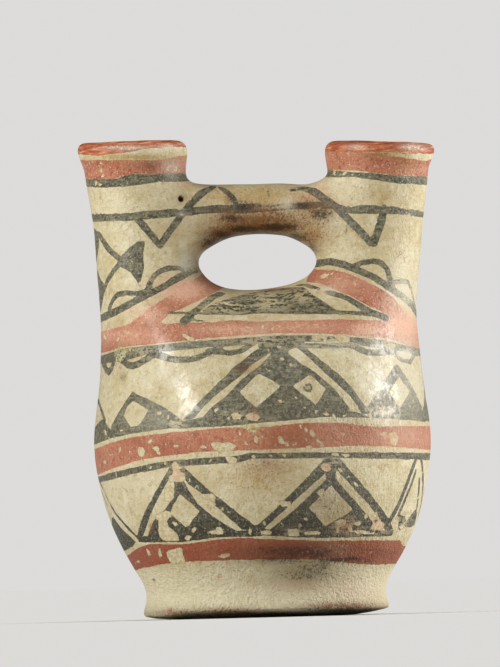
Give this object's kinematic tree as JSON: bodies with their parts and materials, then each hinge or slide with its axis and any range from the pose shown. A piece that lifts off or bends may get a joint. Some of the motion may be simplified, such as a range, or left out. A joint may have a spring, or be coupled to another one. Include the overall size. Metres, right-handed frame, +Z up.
{
  "type": "clay pot",
  "caption": "Hollow hand-built clay vessel with a round painted belly, two necks with rolled lips, and a bridge handle that joins the necks over a finger gap.",
  "frame": {"origin": "the middle of the flat underside, on the surface that the pot stands on", "axes": "+Z up, -Y towards the front that the picture shows, the two necks left and right along X"},
  "size_m": [0.213, 0.2034, 0.288],
  "materials": {
    "painted_clay": "cream slip painted in red and black, under a thin worn varnish"
  },
  "bodies": {
    "root": {"pot": "painted_clay"}
  },
  "joints": []
}
